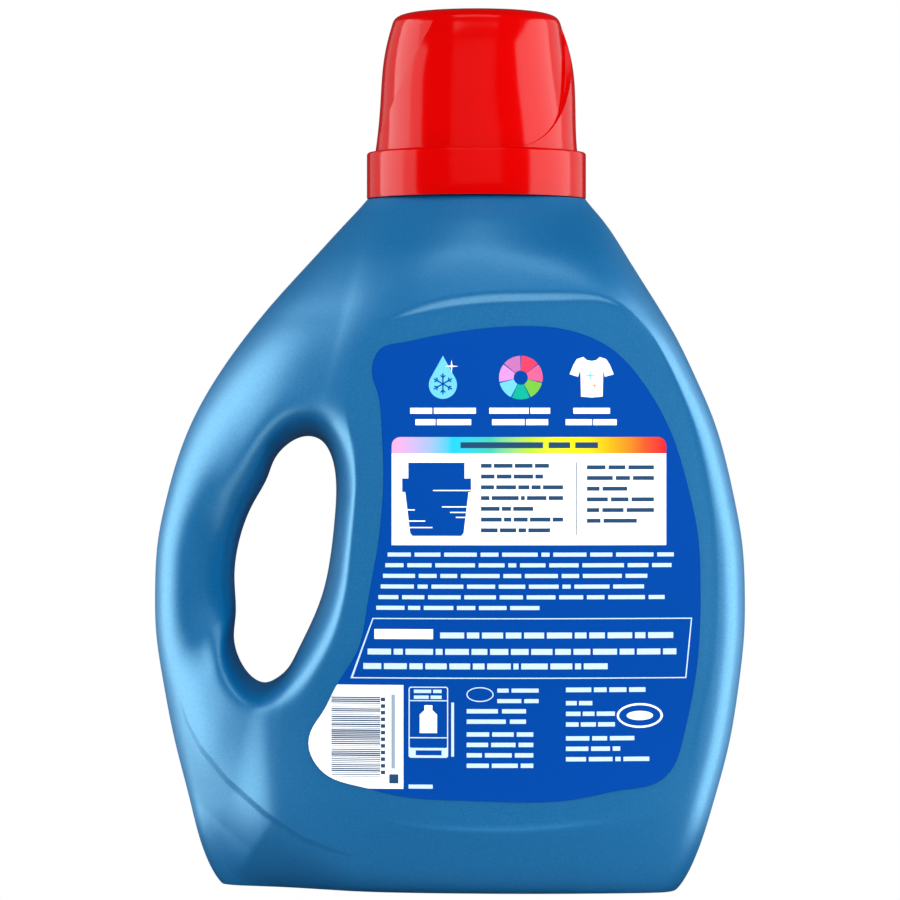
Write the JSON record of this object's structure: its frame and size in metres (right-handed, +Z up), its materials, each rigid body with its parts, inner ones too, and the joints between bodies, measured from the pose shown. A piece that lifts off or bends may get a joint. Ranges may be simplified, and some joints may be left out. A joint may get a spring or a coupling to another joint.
{
  "type": "laundry detergent bottle",
  "caption": "Hollow blow-moulded laundry detergent bottle with a through handle, an off-centre neck with a pour spout, a lift-off dosing cap and a wrap-curved label on each face.",
  "frame": {"origin": "centre of the bottle's bounding box at the plane it stands on", "axes": "+Z up along the bottle's height, -Y out of the face with the directions label, handle on the -X side"},
  "size_m": [0.1956, 0.1072, 0.2902],
  "materials": {
    "pearl_blue_plastic": "pearlescent blow-moulded polyethylene, soft sheen",
    "spout_plastic": "injection-moulded polyethylene",
    "red_plastic": "glossy injection-moulded polypropylene",
    "label_film": "printed pressure-sensitive film"
  },
  "bodies": {
    "bottle": {"bottle": "pearl_blue_plastic", "pour_spout": "spout_plastic", "back_label": "label_film", "front_label": "label_film"},
    "cap": {"cap": "red_plastic"}
  },
  "joints": [
    {"name": "cap_lift_off", "type": "slide", "parent": "bottle", "child": "cap", "axis": [0, 0, 1], "range_m": [0, 0.085]}
  ]
}
